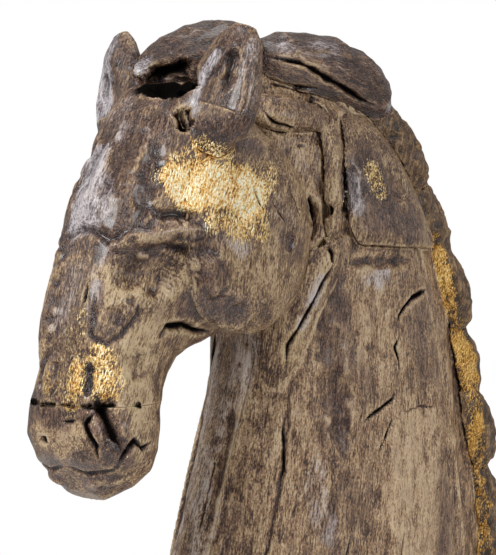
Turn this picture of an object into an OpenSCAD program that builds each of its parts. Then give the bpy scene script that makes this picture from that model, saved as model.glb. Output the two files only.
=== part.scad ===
// Carved horse bust, assembled from glued boards and pinned-on carvings.
// Frame: millimetres, +Z up, origin at the middle of the underside, the horse faces -Y, its left side is +X.

/* [Neck] */
// Height of the neck blank above the base board
neck_h = 325; // [270:5:390]
// Depth of the neck blank at its foot, chest to mane
neck_d = 200; // [170:5:240]
// Width of the neck blank at its foot
neck_w = 92; // [76:2:112]
// Thickness of the middle board of the three-board blank
centre_board_t = 34; // [26:1:42]

/* [Head] */
// Length of the head from poll to lips
head_l = 204; // [170:1:245]
// Depth of the head from face to jowl
head_d = 112; // [94:1:134]
// Width of the skull across the temples
head_w = 70; // [58:1:84]
// How far the head is turned to its left, in degrees
head_turn = 15; // [0:1:20]
// Slope of the face from the vertical, in degrees
face_slope = 28; // [22:1:34]
// Height of the saw cut that parts the muzzle from the skull, above the lips
muzzle_h = 41; // [34:1:49]
// Thickness by which a cheek stands proud of the skull
cheek_t = 9; // [7:0.5:11]
// Diameter of a cheek across its middle
cheek_dia = 98; // [82:1:117]

/* [Ears] */
// Length of an ear from its root to its tip
ear_l = 63; // [53:1:75]
// Width of an ear at its widest
ear_w = 42; // [35:1:50]
// Thickness of an ear through its middle
ear_t = 20; // [17:1:24]
// Width of the rim left round an ear's hollow
ear_rim = 6; // [4:0.5:8]

/* [Locks and strips] */
// Thickness of the crest lock that caps the neck
crest_lock_t = 38; // [32:1:45]
// Thickness of the forelock
forelock_t = 20; // [16:1:24]
// How far the strips and slabs on the neck stand proud of it
slab_proud = 6; // [4:0.5:8]

/* [Mane] */
// Number of carved mane curls down the crest
mane_count = 8; // [6:1:10]
// Width of a mane curl
mane_w = 25; // [20:1:30]
// How far a mane curl stands out behind the neck
mane_proud = 20; // [16:1:24]

/* [Base] */
// Thickness of the base board
base_t = 18; // [14:1:22]
// How far the base board stands out round the foot of the neck
base_margin = 8; // [5:1:12]
// Thickness of the felt under the base board
felt_t = 2; // [1:0.5:3]
// How far the felt stays back from the edge of the base board
felt_inset = 3; // [2:0.5:6]

/* [Fixings] */
// Diameter of the dowels that hold the head and cross the boards
dowel_d = 12; // [10:1:14]
// Diameter of the small pins under ears, cheeks and mane curls
pin_d = 5; // [4:0.5:6]
// Shank diameter of the base screws
screw_d = 5; // [4:0.5:6]
// Length of the base screws
screw_l = 60; // [50:5:75]
// Number of base screws in a row under the neck
screw_count = 3; // [2:1:4]

/* [Hidden] */
MANES = [for (i = [1:mane_count]) str("mane_curl_", i)];

fit = 0.1;          // glue and slip clearance round every dowel, pin and screw
big = 600;          // larger than the whole bust, for cutting halves and slices
ring_n = 32;        // points round the head and neck sections
lock_n = 16;        // points round a lock or curl
patch_n = 12;       // steps across a patch on the neck
hole_fn = 32;       // facets of a drilled hole

foot_z = felt_t + base_t;
neck_top = foot_z + neck_h;
head_y = -neck_d * 0.275;         // where the turning axis of the head crosses the neck
poll_z = neck_top;
poll_y = -head_l * 0.29;
lips_z = poll_z - head_l * cos(face_slope) - head_d * 0.44 * sin(face_slope);

// ---- sections and lofts -------------------------------------------------

function signed_pow(v, e) = sign(v) * pow(abs(v), e);
function mix(a, b, t) = a + (b - a) * t;
function unit(v) = v / norm(v);

// One point of an egg-shaped section: across, and along from front to back.
function egg_point(a, front, back, half_w, square, taper) =
    let (c = signed_pow(cos(a), square), share = (1 - c) / 2)
    [half_w * signed_pow(sin(a), square) * (1 - taper * share * share), mix(front, back, share)];

// Linear look-up in rows whose first number rises.
function row_at(rows, t, i = 0) =
    (i >= len(rows) - 2 || t <= rows[i + 1][0])
        ? let (k = (t - rows[i][0]) / (rows[i + 1][0] - rows[i][0])) mix(rows[i], rows[i + 1], k)
        : row_at(rows, t, i + 1);

// Convex solids between neighbouring rings of points, which together make one lofted form.
module loft(rings) {
    n = len(rings[0]);
    for (i = [0:len(rings) - 2])
        hull()
            polyhedron(points = concat(rings[i], rings[i + 1]), faces = [[for (k = [0:2 * n - 1]) k]]);
}

// An elliptical lock along a path. Each row is [point, outward normal, half width, half thickness].
function lock_ring(rows, i) =
    let (
        before = rows[max(i - 1, 0)][0],
        after = rows[min(i + 1, len(rows) - 1)][0],
        along = unit(after - before),
        across = unit(cross(along, rows[i][1])),
        up = cross(across, along)
    )
    [for (k = [0:lock_n - 1])
        rows[i][0]
            + across * rows[i][2] * cos(360 * k / lock_n)
            + up * rows[i][3] * sin(360 * k / lock_n)];
module lock(rows) {
    loft([for (i = [0:len(rows) - 1]) lock_ring(rows, i)]);
}

// Half-round swelling of a lock from one end (0) to the other (1), never quite closing.
function swell(t, ends = 0.3) = mix(ends, 1, pow(sin(180 * t), 0.6));

// ---- neck ---------------------------------------------------------------

// Rows: share of neck_h, front and back as shares of neck_d, half width as a share of neck_w.
NECK = [
    [0.00, -0.530, 0.520, 0.500],
    [0.12, -0.515, 0.515, 0.490],
    [0.25, -0.482, 0.500, 0.475],
    [0.40, -0.418, 0.465, 0.445],
    [0.56, -0.338, 0.405, 0.410],
    [0.66, -0.318, 0.362, 0.385],
    [0.75, -0.335, 0.308, 0.365],
    [0.84, -0.355, 0.230, 0.345],
    [0.91, -0.395, 0.150, 0.310],
    [0.96, -0.425, 0.085, 0.260],
    [1.00, -0.425, 0.030, 0.160]];
neck_square = 0.86;
neck_taper = 0.62;
neck_rings = 14;

function neck_point(t, a) =
    let (
        r = row_at(NECK, t),
        e = egg_point(a, r[1] * neck_d, r[2] * neck_d, r[3] * neck_w, neck_square, neck_taper)
    )
    [e[0], e[1], foot_z + t * neck_h];
// Outward normal of the neck at the same place, flat and level enough for seating a strip.
function neck_normal(t, a) =
    let (d = neck_point(t, a + 4) - neck_point(t, a - 4)) unit([d[1], -d[0], 0]);

module neck_form() {
    loft([for (i = [0:neck_rings])
        let (t = i / neck_rings) [for (k = [0:ring_n - 1]) neck_point(t, 360 * k / ring_n)]]);
}

// What lies beside the head keeps its place below the poll: a share of this height, as a share of neck_h.
beside_head_h = head_l * 1.593;
function neck_share(s) = 1 - (1 - s) * beside_head_h / neck_h;

// A patch that lies on the neck's left side.
// Stops: [share of beside_head_h, front angle, back angle, thickness].
module neck_patch(stops, proud) {
    loft([for (s = stops)
        [for (k = [0:patch_n])
            let (t = k / patch_n, a = mix(s[1], s[2], t), h = neck_share(s[0]))
            neck_point(h, a) + neck_normal(h, a) * proud * s[3] * pow(sin(180 * mix(0.04, 0.96, t)), 0.5)]]);
}

// ---- head ---------------------------------------------------------------

// Rows: share of head_l from the poll, face and jowl as shares of head_d, half width as a share of head_w.
HEAD = [
    [0.020, -0.290, -0.540, 0.200],
    [0.055, -0.070, -0.680, 0.370],
    [0.100,  0.040, -0.786, 0.457],
    [0.194,  0.085, -0.875, 0.486],
    [0.300,  0.092, -0.910, 0.500],
    [0.413,  0.105, -0.880, 0.486],
    [0.456,  0.082, -0.830, 0.471],
    [0.524,  0.052, -0.750, 0.430],
    [0.590,  0.025, -0.625, 0.385],
    [0.650,  0.004, -0.545, 0.370],
    [0.710, -0.022, -0.535, 0.360],
    [0.777, -0.080, -0.560, 0.385],
    [0.835, -0.108, -0.580, 0.435],
    [0.893, -0.145, -0.590, 0.455],
    [0.932, -0.180, -0.575, 0.415],
    [0.971, -0.275, -0.535, 0.310],
    [1.000, -0.385, -0.490, 0.150]];
head_square = 0.72;
head_taper = 0.12;
head_rings = 22;

// Head frame: origin on the turning axis, Y back, Z up.
module in_head() {
    translate([0, head_y, 0]) rotate([0, 0, head_turn]) children();
}
function slope_point(x, d, s) = [
    x,
    poll_y - s * sin(face_slope) - d * cos(face_slope),
    poll_z - s * cos(face_slope) + d * sin(face_slope)];
function head_point(t, a) =
    let (
        r = row_at(HEAD, t),
        e = egg_point(a, r[1] * head_d, r[2] * head_d, r[3] * head_w, head_square, head_taper)
    )
    slope_point(e[0], e[1], t * head_l);

module head_form() {
    first = HEAD[0][0];
    loft([for (i = [0:head_rings])
        let (t = mix(first, 1, i / head_rings)) [for (k = [0:ring_n - 1]) head_point(t, 360 * k / ring_n)]]);
}

module mirrored(side) {
    if (side < 0) mirror([1, 0, 0]) children();
    else children();
}

// ---- cheeks -------------------------------------------------------------

cheek_at = [0.315, -0.53];     // middle of a cheek: shares of head_l and head_d
cheek_layers = 9;

module cheek_form(side) {
    in_head() mirrored(side)
        loft([for (i = [0:cheek_layers])
            let (
                out = i / cheek_layers,
                r = cheek_dia / 2 * sqrt(max(1 - out * out, 0.03)),
                x = head_w * 0.38 + out * (head_w * 0.12 + cheek_t)
            )
            [for (k = [0:ring_n - 1])
                slope_point(x,
                    cheek_at[1] * head_d + r * cos(360 * k / ring_n),
                    cheek_at[0] * head_l + r * sin(360 * k / ring_n))]]);
}

// ---- ears ---------------------------------------------------------------

// Root, lean, face and width share of the left ear and the right one, in the head frame before its side
// is mirrored.
ear_root_at = [[0.430, 0.040], [0.350, 0.020]];
ear_lean = [[0.14, 0.30, 0.93], [0.15, 0.12, 0.98]];
ear_face = [[0.62, -0.78, 0.15], [0.35, -1, 0.10]];
ear_share = [0.88, 1.04];
EAR = [
    [0.00, 0.34, 0.40],
    [0.12, 0.72, 0.74],
    [0.25, 0.93, 0.96],
    [0.38, 1.00, 1.00],
    [0.52, 0.94, 0.96],
    [0.68, 0.80, 0.84],
    [0.82, 0.66, 0.70],
    [0.93, 0.52, 0.52],
    [1.00, 0.28, 0.28]];
function ear_root(which) = [
    head_w * ear_root_at[which][0],
    poll_y - head_l * ear_root_at[which][1],
    poll_z - head_l * 0.245];

ear_stops = 9;
function ear_rows(which, shrink, shift, first, last) =
    let (along = unit(ear_lean[which]), face = unit(ear_face[which]))
    [for (i = [first:last])
        let (t = i / ear_stops, r = row_at(EAR, t))
        [ear_root(which) + along * ear_l * t + face * shift,
            face,
            max(ear_w * ear_share[which] / 2 * r[1] - shrink, 0.8),
            max(ear_t / 2 * r[2] - shrink * 0.4, 0.8)]];
module ear_form(which) {
    in_head() mirrored(which == 0 ? 1 : -1) lock(ear_rows(which, 0, 0, 0, ear_stops));
}
module ear_hollow(which) {
    in_head() mirrored(which == 0 ? 1 : -1) lock(ear_rows(which, ear_rim, ear_t * 0.6, 3, ear_stops - 1));
}
module ear_pin(which, extra = 0) {
    along = unit(ear_lean[which]);
    start = ear_root(which) - along * ear_l * 0.14;
    in_head() mirrored(which == 0 ? 1 : -1)
        translate(start) rotate([0, acos(along[2]), atan2(along[1], along[0])])
            cylinder(d = pin_d + 2 * extra, h = ear_l * 0.36, $fn = hole_fn);
}

// ---- locks of hair ------------------------------------------------------

// Rows: across, back and up from the poll, half width and half thickness as shares of the thickness.
FORELOCK = [
    [  5,  56,   4, 0.50, 0.50],
    [  3,  46,   6, 0.80, 0.66],
    [  1,  36,   6, 0.88, 0.68],
    [ -4,  24,   2, 0.85, 0.72],
    [ -9,  12,  -3, 0.75, 0.64],
    [-13,   3,  -8, 0.58, 0.48],
    [-16,  -3, -11, 0.38, 0.32],
    [-18,  -7, -14, 0.15, 0.16]];
module forelock_form() {
    in_head()
        lock([for (r = FORELOCK)
            [[r[0], poll_y + r[1], poll_z + r[2]], [0.15, -0.6, 1], forelock_t * r[3], forelock_t * r[4]]]);
}

CREST_LOCK = [
    [-0.310, -0.010, 0.40],
    [-0.265,  0.004, 0.80],
    [-0.200,  0.014, 1.00],
    [-0.120,  0.016, 1.04],
    [-0.045,  0.014, 1.04],
    [ 0.020, -0.002, 0.98],
    [ 0.070, -0.026, 0.84],
    [ 0.112, -0.056, 0.62],
    [ 0.144, -0.084, 0.30]];
module crest_lock_form() {
    lock([for (r = CREST_LOCK)
        [[neck_w * 0.05, r[0] * neck_d, neck_top - crest_lock_t * 0.12 + r[1] * neck_d],
            [1, 0, 0], crest_lock_t / 2 * r[2], crest_lock_t * 0.52 * r[2]]]);
}

// Patches on the neck's left side. Stops: [share of beside_head_h, front angle, back angle, thickness share].
POLL_LOBE = [
    [0.948, 56,  74, 0.3],
    [0.942, 48,  86, 0.8],
    [0.935, 42,  92, 1.0],
    [0.927, 40,  95, 1.1],
    [0.919, 38,  96, 1.2],
    [0.911, 38,  95, 1.2],
    [0.904, 40,  92, 1.1],
    [0.898, 46,  86, 0.9],
    [0.893, 54,  76, 0.4]];
SIDE_STRAND = [
    [0.945, 88,  94, 0.5],
    [0.915, 85,  95, 0.9],
    [0.885, 81,  92, 1.0],
    [0.855, 77,  88, 1.0],
    [0.825, 73,  84, 1.0],
    [0.795, 70,  82, 1.0],
    [0.770, 68,  79, 0.9],
    [0.745, 67,  77, 0.8],
    [0.725, 68,  74, 0.4]];
NAPE_SLAB = [
    [0.932, 100, 134, 0.4],
    [0.908,  96, 144, 0.8],
    [0.880,  92, 149, 1.0],
    [0.855,  88, 152, 1.1],
    [0.830,  85, 153, 1.2],
    [0.800,  82, 153, 1.3],
    [0.770,  80, 152, 1.4],
    [0.742,  80, 150, 1.4],
    [0.722,  83, 148, 1.2]];
THROAT_STRIP = [
    [0.735, 66, 82, 0.6],
    [0.712, 56, 78, 0.9],
    [0.690, 45, 74, 1.0],
    [0.668, 36, 69, 1.0],
    [0.645, 28, 64, 1.0],
    [0.620, 22, 59, 1.0],
    [0.590, 20, 55, 1.0],
    [0.550, 24, 50, 0.8],
    [0.505, 32, 45, 0.3]];

module poll_lobe_form(side) mirrored(side) neck_patch(POLL_LOBE, slab_proud);
module side_strand_form(side) mirrored(side) neck_patch(SIDE_STRAND, slab_proud);
module nape_slab_form(side) mirrored(side) neck_patch(NAPE_SLAB, slab_proud);
module throat_strip_form(side) mirrored(side) neck_patch(THROAT_STRIP, slab_proud);

// ---- mane ---------------------------------------------------------------

mane_low = 0.015;               // share of neck_h where the lowest curl ends
mane_high = neck_share(0.955);  // share of neck_h where the highest curl begins
mane_step = (mane_high - mane_low) / mane_count;
mane_stops = 8;

// Curls are counted from the top. Each one starts under the one above and kicks out at its lower end.
module mane_form(i) {
    top = mane_high - (i - 1) * mane_step;
    lock([for (k = [0:mane_stops])
        let (
            t = k / mane_stops,
            share = top - mane_step * 1.12 * t,
            crest = neck_point(max(share, 0.01), 180),
            sway = (i % 2 == 0 ? -1 : 1) * mane_w * 0.07
        )
        [crest + [sway, mane_proud * mix(-0.1, 0.30, t), 0],
            [0, 1, 0.15],
            mane_w / 2 * swell(mix(0.12, 0.92, t), 0.25),
            mane_proud * 0.72 * swell(mix(0.12, 0.90, t), 0.25)]]);
}
module mane_pin(i, extra = 0) {
    share = mane_high - (i - 0.45) * mane_step;
    crest = neck_point(share, 180);
    translate(crest - [0, mane_proud * 1.2, 0]) rotate([-90, 0, 0])
        cylinder(d = pin_d + 2 * extra, h = mane_proud * 1.7, $fn = hole_fn);
}

// ---- dowels and screws --------------------------------------------------

head_dowel_l = head_d * 0.62;
head_dowel_at = [0.16, 0.34];
function head_dowel_start(i) = slope_point(0, -head_d * 0.52, head_dowel_at[i] * head_l);
module head_dowel(i, extra = 0) {
    at = head_dowel_start(i);
    in_head() translate(at) rotate([-90, 0, 0]) translate([0, 0, -extra])
        cylinder(d = dowel_d + 2 * extra, h = head_dowel_l + 2 * extra, $fn = hole_fn);
}

// Board dowels, back and up. The highest one lies clear behind the ends of the head dowels.
board_dowel_at = [
    [-0.10 * neck_d, 0.16 * neck_h],
    [0.12 * neck_d, 0.36 * neck_h],
    [-0.06 * neck_d, 0.55 * neck_h],
    [head_y + head_dowel_start(0)[1] + head_dowel_l + dowel_d * 1.2, 0.76 * neck_h]];
board_dowel_l = neck_w * 0.48;
module board_dowel(i, extra = 0) {
    at = board_dowel_at[i];
    translate([-board_dowel_l / 2 - extra, at[0], foot_z + at[1]]) rotate([0, 90, 0])
        cylinder(d = dowel_d + 2 * extra, h = board_dowel_l + 2 * extra, $fn = hole_fn);
}

muzzle_cut_z = lips_z + muzzle_h;
muzzle_dowel_l = muzzle_h * 0.9;
muzzle_y = poll_y - head_l * 0.78 * sin(face_slope) + head_d * 0.25 * cos(face_slope);
module muzzle_dowel(side, extra = 0) {
    in_head() translate([side * head_w * 0.14, muzzle_y, muzzle_cut_z - muzzle_dowel_l / 2 - extra])
        cylinder(d = pin_d * 1.6 + 2 * extra, h = muzzle_dowel_l + 2 * extra, $fn = hole_fn);
}

cheek_pin_l = cheek_t * 2.4;
module cheek_pin(side, extra = 0) {
    at = slope_point(head_w / 2 - cheek_pin_l * 0.7, cheek_at[1] * head_d, cheek_at[0] * head_l);
    in_head() mirrored(side) translate(at) rotate([0, 90, 0]) translate([0, 0, -extra])
        cylinder(d = pin_d + 2 * extra, h = cheek_pin_l + 2 * extra, $fn = hole_fn);
}

screw_head_d = screw_d * 2;
screw_sink = 2;           // how far a screw head sits inside the base board
screw_head_h = screw_head_d / 2 - screw_d / 2;
screw_gap = neck_d * 0.27;
function screw_y(i) = (i - (screw_count - 1) / 2) * screw_gap;
module screw(i, extra = 0) {
    translate([0, screw_y(i), felt_t + screw_sink]) {
        cylinder(d1 = screw_head_d + 2 * extra, d2 = screw_d + 2 * extra, h = screw_head_h, $fn = hole_fn);
        cylinder(d = screw_d + 2 * extra, h = screw_l + extra, $fn = hole_fn);
    }
}
module screw_sinks() {
    for (i = [0:screw_count - 1])
        translate([0, screw_y(i), felt_t - 1])
            cylinder(d = screw_head_d + 2 * fit, h = screw_sink + 1.01, $fn = hole_fn);
}

// ---- nodes --------------------------------------------------------------

// Everything of the head that the neck boards and the pieces on the neck make room for.
module head_forms() {
    in_head() head_form();
    cheek_form(1);
    cheek_form(-1);
}

module base_outline(inset = 0) {
    front = NECK[0][1] * neck_d - base_margin + inset;
    back = NECK[0][2] * neck_d + base_margin + mane_proud - inset;
    half = neck_w / 2 + base_margin - inset;
    r = half * 0.5;
    for (x = [-1, 1])
        for (y = [front + r, back - r])
            translate([x * (half - r), y]) circle(r = r, $fn = 64);
    translate([-half, front + r]) square([2 * half, back - front - 2 * r]);
    translate([-half + r, front]) square([2 * (half - r), back - front]);
}

module felt_pad() {
    color("darkolivegreen") linear_extrude(felt_t) base_outline(felt_inset);
}

module base_board() {
    color("saddlebrown")
        difference() {
            translate([0, 0, felt_t]) linear_extrude(base_t) base_outline();
            for (i = [0:screw_count - 1]) screw(i, fit);
            screw_sinks();
        }
}

module base_screws() {
    color("silver") for (i = [0:screw_count - 1]) screw(i);
}

module neck_board(low, high) {
    difference() {
        intersection() {
            neck_form();
            translate([low, -big / 2, 0]) cube([high - low, big, big]);
        }
        head_forms();
        for (i = [0:1]) head_dowel(i, fit);
        for (i = [0:len(board_dowel_at) - 1]) board_dowel(i, fit);
        for (i = [0:screw_count - 1]) screw(i, fit);
        for (i = [1:mane_count]) mane_pin(i, fit);
    }
}
module neck_centre_board() color("peru") neck_board(-centre_board_t / 2, centre_board_t / 2);
module neck_left_board() color("burlywood") neck_board(centre_board_t / 2, big / 2);
module neck_right_board() color("burlywood") neck_board(-big / 2, -centre_board_t / 2);

module board_dowels() {
    color("wheat") for (i = [0:len(board_dowel_at) - 1]) board_dowel(i);
}
module head_dowels() {
    color("wheat") for (i = [0:1]) head_dowel(i);
}
module muzzle_dowels() {
    color("wheat") for (side = [-1, 1]) muzzle_dowel(side);
}
module cheek_pins() {
    color("wheat") for (side = [-1, 1]) cheek_pin(side);
}
module ear_pins() {
    color("wheat") for (which = [0, 1]) ear_pin(which);
}
module mane_pins() {
    color("wheat") for (i = [1:mane_count]) mane_pin(i);
}

module below_muzzle_cut() {
    in_head() translate([-big / 2, -big / 2, muzzle_cut_z - big]) cube(big);
}

module skull() {
    color("sienna")
        difference() {
            in_head() head_form();
            below_muzzle_cut();
            for (which = [0, 1]) {
                ear_form(which);
                ear_pin(which, fit);
            }
            for (side = [-1, 1]) {
                muzzle_dowel(side, fit);
                cheek_pin(side, fit);
            }
            for (i = [0:1]) head_dowel(i, fit);
        }
}

module muzzle() {
    color("peru")
        difference() {
            intersection() {
                in_head() head_form();
                below_muzzle_cut();
            }
            for (side = [-1, 1]) muzzle_dowel(side, fit);
        }
}

module cheek(side) {
    color("goldenrod")
        difference() {
            cheek_form(side);
            in_head() head_form();
            cheek_pin(side, fit);
            ear_form(side > 0 ? 0 : 1);
            ear_pin(side > 0 ? 0 : 1, fit);
        }
}

module ear(which) {
    color("sienna")
        difference() {
            ear_form(which);
            ear_hollow(which);
            ear_pin(which, fit);
        }
}

module forelock() {
    color("sienna")
        difference() {
            forelock_form();
            in_head() head_form();
            neck_form();
            for (which = [0, 1]) ear_form(which);
            crest_lock_form();
        }
}

module crest_lock() {
    color("sienna")
        difference() {
            crest_lock_form();
            neck_form();
            head_forms();
            for (which = [0, 1]) ear_form(which);
        }
}

// What a piece seated on the neck is cut back to.
module neck_seat() {
    neck_form();
    head_forms();
    for (which = [0, 1]) ear_form(which);
    crest_lock_form();
}
module poll_lobe(side) {
    color("peru")
        difference() {
            poll_lobe_form(side);
            neck_seat();
        }
}
module side_strand(side) {
    color("burlywood")
        difference() {
            side_strand_form(side);
            poll_lobe_form(side);
            neck_seat();
        }
}
module nape_slab(side) {
    color("sienna")
        difference() {
            nape_slab_form(side);
            side_strand_form(side);
            poll_lobe_form(side);
            neck_seat();
        }
}
module throat_strip(side) {
    color("burlywood")
        difference() {
            throat_strip_form(side);
            side_strand_form(side);
            nape_slab_form(side);
            neck_seat();
        }
}

module mane_curl(i) {
    color("gold")
        difference() {
            mane_form(i);
            neck_seat();
            if (i > 1) mane_form(i - 1);
            for (side = [-1, 1]) nape_slab_form(side);
            mane_pin(i, fit);
            translate([-big / 2, -big / 2, foot_z - big]) cube(big);
        }
}

felt_pad();
base_board();
base_screws();
neck_centre_board();
neck_left_board();
neck_right_board();
board_dowels();
head_dowels();
skull();
muzzle();
muzzle_dowels();
cheek(1);  // cheek_left
cheek(-1);  // cheek_right
cheek_pins();
ear(0);  // ear_left
ear(1);  // ear_right
ear_pins();
forelock();
crest_lock();
poll_lobe(1);  // poll_lobe_left
poll_lobe(-1);  // poll_lobe_right
side_strand(1);  // side_strand_left
side_strand(-1);  // side_strand_right
nape_slab(1);  // nape_slab_left
nape_slab(-1);  // nape_slab_right
throat_strip(1);  // throat_strip_left
throat_strip(-1);  // throat_strip_right
for (i = [1:mane_count])
    mane_curl(i);
mane_pins();
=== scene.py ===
"""A carved, wire-brushed and partly gilded wooden horse bust on a low base board.

Each carved piece starts as a copy of the solid that stands for it. The copy is remeshed finely, smoothed,
cut with gouge strokes and weathered, and each point of it is given its coats: brown stain, a silvery painted
highlight, black in the cracks with painted shade in the holes, and gold leaf. The wood finish reads those
coats, and the direction of the grain, from the points.
"""

from __future__ import annotations

import itertools
import logging
import math
from dataclasses import dataclass
from enum import Enum
from functools import cached_property, partial

import bmesh
import bpy
import numpy as np
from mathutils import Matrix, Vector
from mathutils.bvhtree import BVHTree


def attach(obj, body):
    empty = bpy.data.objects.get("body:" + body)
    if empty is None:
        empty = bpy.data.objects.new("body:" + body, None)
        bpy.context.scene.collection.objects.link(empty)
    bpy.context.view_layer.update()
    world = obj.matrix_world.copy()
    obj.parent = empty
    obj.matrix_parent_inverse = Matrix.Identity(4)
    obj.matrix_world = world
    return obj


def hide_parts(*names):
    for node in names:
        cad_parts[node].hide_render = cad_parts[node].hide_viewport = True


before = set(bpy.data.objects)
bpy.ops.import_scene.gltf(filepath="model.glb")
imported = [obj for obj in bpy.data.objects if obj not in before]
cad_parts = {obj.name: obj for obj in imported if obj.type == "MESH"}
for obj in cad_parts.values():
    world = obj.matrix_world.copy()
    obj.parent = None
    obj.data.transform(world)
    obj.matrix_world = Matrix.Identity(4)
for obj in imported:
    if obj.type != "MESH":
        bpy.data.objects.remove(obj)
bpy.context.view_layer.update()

LOG = logging.getLogger("horse_bust")
Triple = tuple[float, float, float]
Socket = bpy.types.NodeSocket
Source = bpy.types.NodeSocket | float
MM = 0.001  # metres in a millimetre
HEAD_TURN = math.radians(15)  # how far the head is turned to its left
HEAD_AXIS_Y = -55.0  # where the axis that the head is turned about crosses the neck, in mm
WORN = (0.5,)  # shares of a smoothing that wears edges round


class Cut(Enum):
    """What a stroke of the tool leaves in the wood."""

    GOUGE = "gouge"
    RIDGE = "ridge"
    CRACK = "crack"
    STEP = "step"


class Coat(Enum):
    """A coat that a point can carry. The value is the name of the point attribute."""

    STAIN = "stain"
    # A painted highlight: silvery grey on the proud places.
    PAINTED_HIGHLIGHT = "rub"
    GILT = "gilt"
    PALE = "pale"
    # Black in the cracks, and painted shade in the holes and the deepest hollows.
    BLACK_AND_SHADE = "soot"


@dataclass(frozen=True)
class Stroke:
    """One stroke of a carving tool along a few points on the surface, in mm."""

    cut: Cut
    points: tuple[Triple, ...]
    width: float
    depth: float
    # How black a cut is left: black in a crack, and painted shade in a hole or gap.
    soot: float = 0.0
    mirror: bool = True


@dataclass(frozen=True)
class Patch:
    """A soft-edged area of one coat along a line through a few points, in mm."""

    coat: Coat
    points: tuple[Triple, ...]
    radius: float
    strength: float = 1.0
    mirror: bool = True


# The second patch maker lays a silvery painted highlight. The last one lays black in cracks and painted shade
# in holes.
gouge, ridge, crack, step = (partial(Stroke, cut) for cut in Cut)
stained, painted_highlight_patch, gilded, paled, black_and_shade_patch = (partial(Patch, coat) for coat in Coat)


# ---- small tools ---------------------------------------------------------


def linear(hex_colour: str) -> tuple[float, float, float, float]:
    """Turn an sRGB hex colour into linear RGBA.

    Args:
        hex_colour: Six hex digits with a leading "#".

    Returns:
        Red, green, blue and an alpha of one.
    """
    parts = [int(hex_colour[i : i + 2], 16) / 255 for i in (1, 3, 5)]
    rgb = [c / 12.92 if c <= 0.04045 else ((c + 0.055) / 1.055) ** 2.4 for c in parts]
    return (*rgb, 1.0)


def from_head(points: np.ndarray) -> np.ndarray:
    """Turn points of the unturned head into the bust's frame.

    Args:
        points: Points in mm, an (n, 3) array.

    Returns:
        The same points in the bust's frame, in mm.
    """
    c, s = math.cos(HEAD_TURN), math.sin(HEAD_TURN)
    x, y, z = points[:, 0], points[:, 1], points[:, 2]
    return np.stack((c * x - s * y, s * x + c * y + HEAD_AXIS_Y, z), axis=1)


def to_head(points: np.ndarray) -> np.ndarray:
    """Turn points of the bust's frame into those of the unturned head.

    Args:
        points: Points in mm, an (n, 3) array.

    Returns:
        The same points in the head's own frame, in mm.
    """
    c, s = math.cos(HEAD_TURN), math.sin(HEAD_TURN)
    x, y, z = points[:, 0], points[:, 1] - HEAD_AXIS_Y, points[:, 2]
    return np.stack((c * x + s * y, -s * x + c * y, z), axis=1)


def lattice_noise(points: np.ndarray, cell: float, seed: int) -> np.ndarray:
    """Smooth random values that depend on place alone.

    Args:
        points: Points in mm, an (n, 3) array.
        cell: Size of a cell of the lattice in mm.
        seed: Which of the random fields to use.

    Returns:
        A value between -1 and 1 for each point.
    """
    q = points / cell
    base = np.floor(q).astype(np.int64)
    t = q - base
    t = t * t * (3 - 2 * t)
    total = np.zeros(len(points))
    for corner in itertools.product((0, 1), repeat=3):
        k = base + np.array(corner)
        h = k[:, 0] * 73856093 ^ k[:, 1] * 19349663 ^ k[:, 2] * 83492791 ^ seed * 265443576
        h = (h ^ (h >> 13)) * 1274126177 & 0x7FFFFFFF
        value = ((h ^ (h >> 15)) & 0xFFFF) / 32767.5 - 1
        total += value * np.prod(np.where(corner, t, 1 - t), axis=1)
    return total


def ramp(values: np.ndarray, low: float, high: float) -> np.ndarray:
    """Rise smoothly from 0 at low to 1 at high."""
    t = np.clip((values - low) / (high - low), 0, 1)
    return t * t * (3 - 2 * t)


def densify(path: np.ndarray) -> tuple[np.ndarray, np.ndarray]:
    """Fill in a path about every millimetre.

    Args:
        path: The path's corners in mm, an (n, 3) array.

    Returns:
        The points along the path, and how far along it each one is, from 0 to 1.
    """
    length = np.concatenate(([0], np.cumsum(np.linalg.norm(np.diff(path, axis=0), axis=1))))
    steps = np.linspace(0, length[-1], max(2, int(length[-1]) + 1))
    dense = np.stack([np.interp(steps, length, path[:, i]) for i in range(3)], axis=1)
    return dense, steps / max(length[-1], 1e-6)


def merged_copy(node: str) -> bmesh.types.BMesh:
    """Copy a solid's mesh and merge its loose triangles.

    Args:
        node: Name of the solid.

    Returns:
        The copy, which the caller frees.
    """
    work = bmesh.new()
    work.from_mesh(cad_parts[node].data)
    bmesh.ops.remove_doubles(work, verts=work.verts, dist=0.01 * MM)
    return work


def voxel_mesh(work: bmesh.types.BMesh, voxel: float) -> bpy.types.Mesh:
    """Remesh closed shells into one even mesh.

    Args:
        work: The shells. They are freed.
        voxel: Size of the new faces in mm.

    Returns:
        The new mesh.
    """
    shell = bpy.data.meshes.new("shell")
    work.to_mesh(shell)
    work.free()
    holder = add_object("shell", shell)
    remesh = holder.modifiers.new("remesh", "REMESH")
    remesh.mode = "VOXEL"
    remesh.voxel_size = voxel * MM
    graph = bpy.context.evaluated_depsgraph_get()
    mesh = bpy.data.meshes.new_from_object(holder.evaluated_get(graph))
    bpy.data.objects.remove(holder)
    bpy.data.meshes.remove(shell)
    return mesh


def add_object(name: str, data: bpy.types.ID) -> bpy.types.Object:
    """Make an object for a mesh, light or camera and put it in the scene."""
    made = bpy.data.objects.new(name, data)
    bpy.context.scene.collection.objects.link(made)
    return made


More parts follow.
